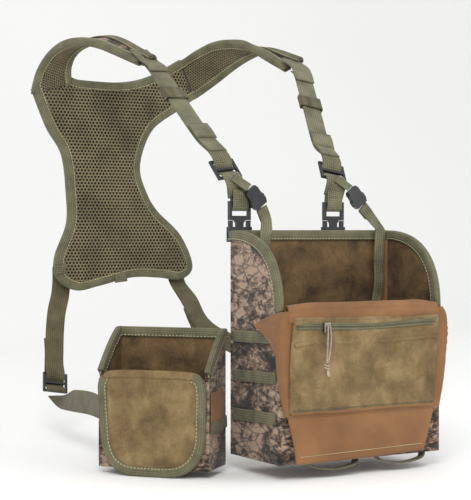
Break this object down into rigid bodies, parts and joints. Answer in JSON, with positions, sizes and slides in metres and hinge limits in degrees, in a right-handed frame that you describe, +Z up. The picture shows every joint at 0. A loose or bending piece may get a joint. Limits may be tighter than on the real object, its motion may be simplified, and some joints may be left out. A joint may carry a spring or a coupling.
{
  "type": "binocular harness pack",
  "caption": "Chest pouch for binoculars with a forward-opening lid, a side pouch, and a padded back yoke joined by webbing straps and snap buckles.",
  "frame": {"origin": "centre of the main pouch's rear face, which rests on the wearer's chest, 130 mm above the pouch's floor", "axes": "+Z up, +X towards the wearer's left, +Y out of the rear face towards the wearer"},
  "size_m": [0.3718, 0.5092, 0.5242],
  "materials": {
    "camo_shell": null,
    "brushed_lining": "brushed tricot",
    "coyote_cloth": "smooth plain-weave nylon",
    "edge_tape": "ribbed grosgrain",
    "webbing": "ribbed nylon webbing",
    "spacer_mesh": "knitted air mesh",
    "moulded_plastic": "moulded acetal",
    "zinc_metal": "plated",
    "pull_cord": "braided cord"
  },
  "bodies": {
    "pack": {"main_rear_panel": "camo_shell", "main_right_panel": "camo_shell", "main_left_panel": "camo_shell", "main_front_panel": "camo_shell", "main_floor_panel": "camo_shell", "main_rim_binding": "edge_tape", "side_rear_panel": "camo_shell", "side_right_panel": "camo_shell", "side_left_panel": "camo_shell", "side_front_panel": "camo_shell", "side_floor_panel": "camo_shell", "side_rim_binding": "edge_tape", "right_ladder_row_1": "webbing", "right_ladder_row_2": "webbing", "right_ladder_row_3": "webbing", "yoke_panel": "spacer_mesh", "yoke_binding": "edge_tape", "right_arm_pad": "spacer_mesh", "left_arm_pad": "spacer_mesh", "right_shoulder_strap": "webbing", "left_shoulder_strap": "webbing", "right_strap_adjuster": "moulded_plastic", "left_strap_adjuster": "moulded_plastic", "right_buckle_socket": "moulded_plastic", "right_buckle_plug": "moulded_plastic", "right_buckle_tab": "webbing", "left_buckle_socket": "moulded_plastic", "left_buckle_plug": "moulded_plastic", "left_buckle_tab": "webbing", "right_tether_upper": "webbing", "right_tether_lower": "webbing", "right_tether_buckle": "moulded_plastic", "left_tether_upper": "webbing", "left_tether_lower": "webbing", "left_tether_buckle": "moulded_plastic", "right_side_strap": "webbing", "side_strap_adjuster": "moulded_plastic", "right_side_strap_lower": "webbing", "side_pouch_strap_ring": "moulded_plastic", "left_side_strap": "webbing"},
    "main_lid": {"main_lid_hinge_fold": "coyote_cloth", "main_lid_panel": "coyote_cloth", "main_lid_pocket": "brushed_lining", "pocket_zip_track": "edge_tape", "right_lid_gusset": "coyote_cloth", "left_lid_gusset": "coyote_cloth"},
    "lid_tongue": {"lid_tongue": "coyote_cloth", "tongue_magnet_strip": "zinc_metal"},
    "zip_slider": {"pocket_zip_slider": "zinc_metal"},
    "zip_pull": {"zip_pull_cord": "pull_cord", "zip_pull_knot": "pull_cord"},
    "side_lid": {"side_lid_panel": "brushed_lining", "side_lid_binding": "edge_tape"},
    "right_prong_outer": {"right_buckle_prong_outer": "moulded_plastic"},
    "right_prong_inner": {"right_buckle_prong_inner": "moulded_plastic"},
    "left_prong_outer": {"left_buckle_prong_outer": "moulded_plastic"},
    "left_prong_inner": {"left_buckle_prong_inner": "moulded_plastic"},
    "right_keeper": {"right_strap_keeper": "webbing"},
    "left_keeper": {"left_strap_keeper": "webbing"}
  },
  "joints": [
    {"name": "main_lid_hinge", "type": "hinge", "parent": "pack", "child": "main_lid", "pos_m": [0, -0.1025, 0.0376], "axis": [-1, 0, 0], "range_deg": [0, 208], "deforming": ["right_lid_gusset", "left_lid_gusset"]},
    {"name": "lid_tongue_fold", "type": "hinge", "parent": "main_lid", "child": "lid_tongue", "pos_m": [0, -0.1073, -0.08035], "axis": [-1, 0, 0], "range_deg": [0, 125]},
    {"name": "zip_slide", "type": "slide", "parent": "main_lid", "child": "zip_slider", "axis": [1, 0, 0], "range_m": [-0.03, 0.14]},
    {"name": "zip_pull_swing", "type": "hinge", "parent": "zip_slider", "child": "zip_pull", "pos_m": [-0.056, -0.117, 0.017], "axis": [0, 1, 0], "range_deg": [-60, 60]},
    {"name": "side_lid_hinge", "type": "hinge", "parent": "pack", "child": "side_lid", "pos_m": [-0.20773, 0.00079, -0.0305], "axis": [-0.6428, 0.766, 0], "range_deg": [0, 226]},
    {"name": "right_prong_outer_squeeze", "type": "hinge", "parent": "pack", "child": "right_prong_outer", "pos_m": [-0.1037, 0.0074, 0.1302], "axis": [0, -1, 0], "range_deg": [0, 8], "stiffness_Nm_per_rad": 0.02},
    {"name": "right_prong_inner_squeeze", "type": "hinge", "parent": "pack", "child": "right_prong_inner", "pos_m": [-0.0803, 0.0074, 0.1302], "axis": [0, 1, 0], "range_deg": [0, 8], "stiffness_Nm_per_rad": 0.02},
    {"name": "left_prong_outer_squeeze", "type": "hinge", "parent": "pack", "child": "left_prong_outer", "pos_m": [0.0243, 0.0074, 0.1302], "axis": [0, -1, 0], "range_deg": [0, 8], "stiffness_Nm_per_rad": 0.02},
    {"name": "left_prong_inner_squeeze", "type": "hinge", "parent": "pack", "child": "left_prong_inner", "pos_m": [0.0477, 0.0074, 0.1302], "axis": [0, 1, 0], "range_deg": [0, 8], "stiffness_Nm_per_rad": 0.02},
    {"name": "right_keeper_slide", "type": "slide", "parent": "pack", "child": "right_keeper", "axis": [0.0209, -0.7793, -0.6263], "range_m": [-0.03, 0.055]},
    {"name": "left_keeper_slide", "type": "slide", "parent": "pack", "child": "left_keeper", "axis": [-0.2773, -0.7038, -0.654], "range_m": [-0.03, 0.055]}
  ],
  "couplings": [
    {"joint": "lid_tongue_fold", "follows": "main_lid_hinge", "ratio": 0.5813},
    {"joint": "right_prong_inner_squeeze", "follows": "right_prong_outer_squeeze", "ratio": 1},
    {"joint": "left_prong_inner_squeeze", "follows": "left_prong_outer_squeeze", "ratio": 1}
  ]
}
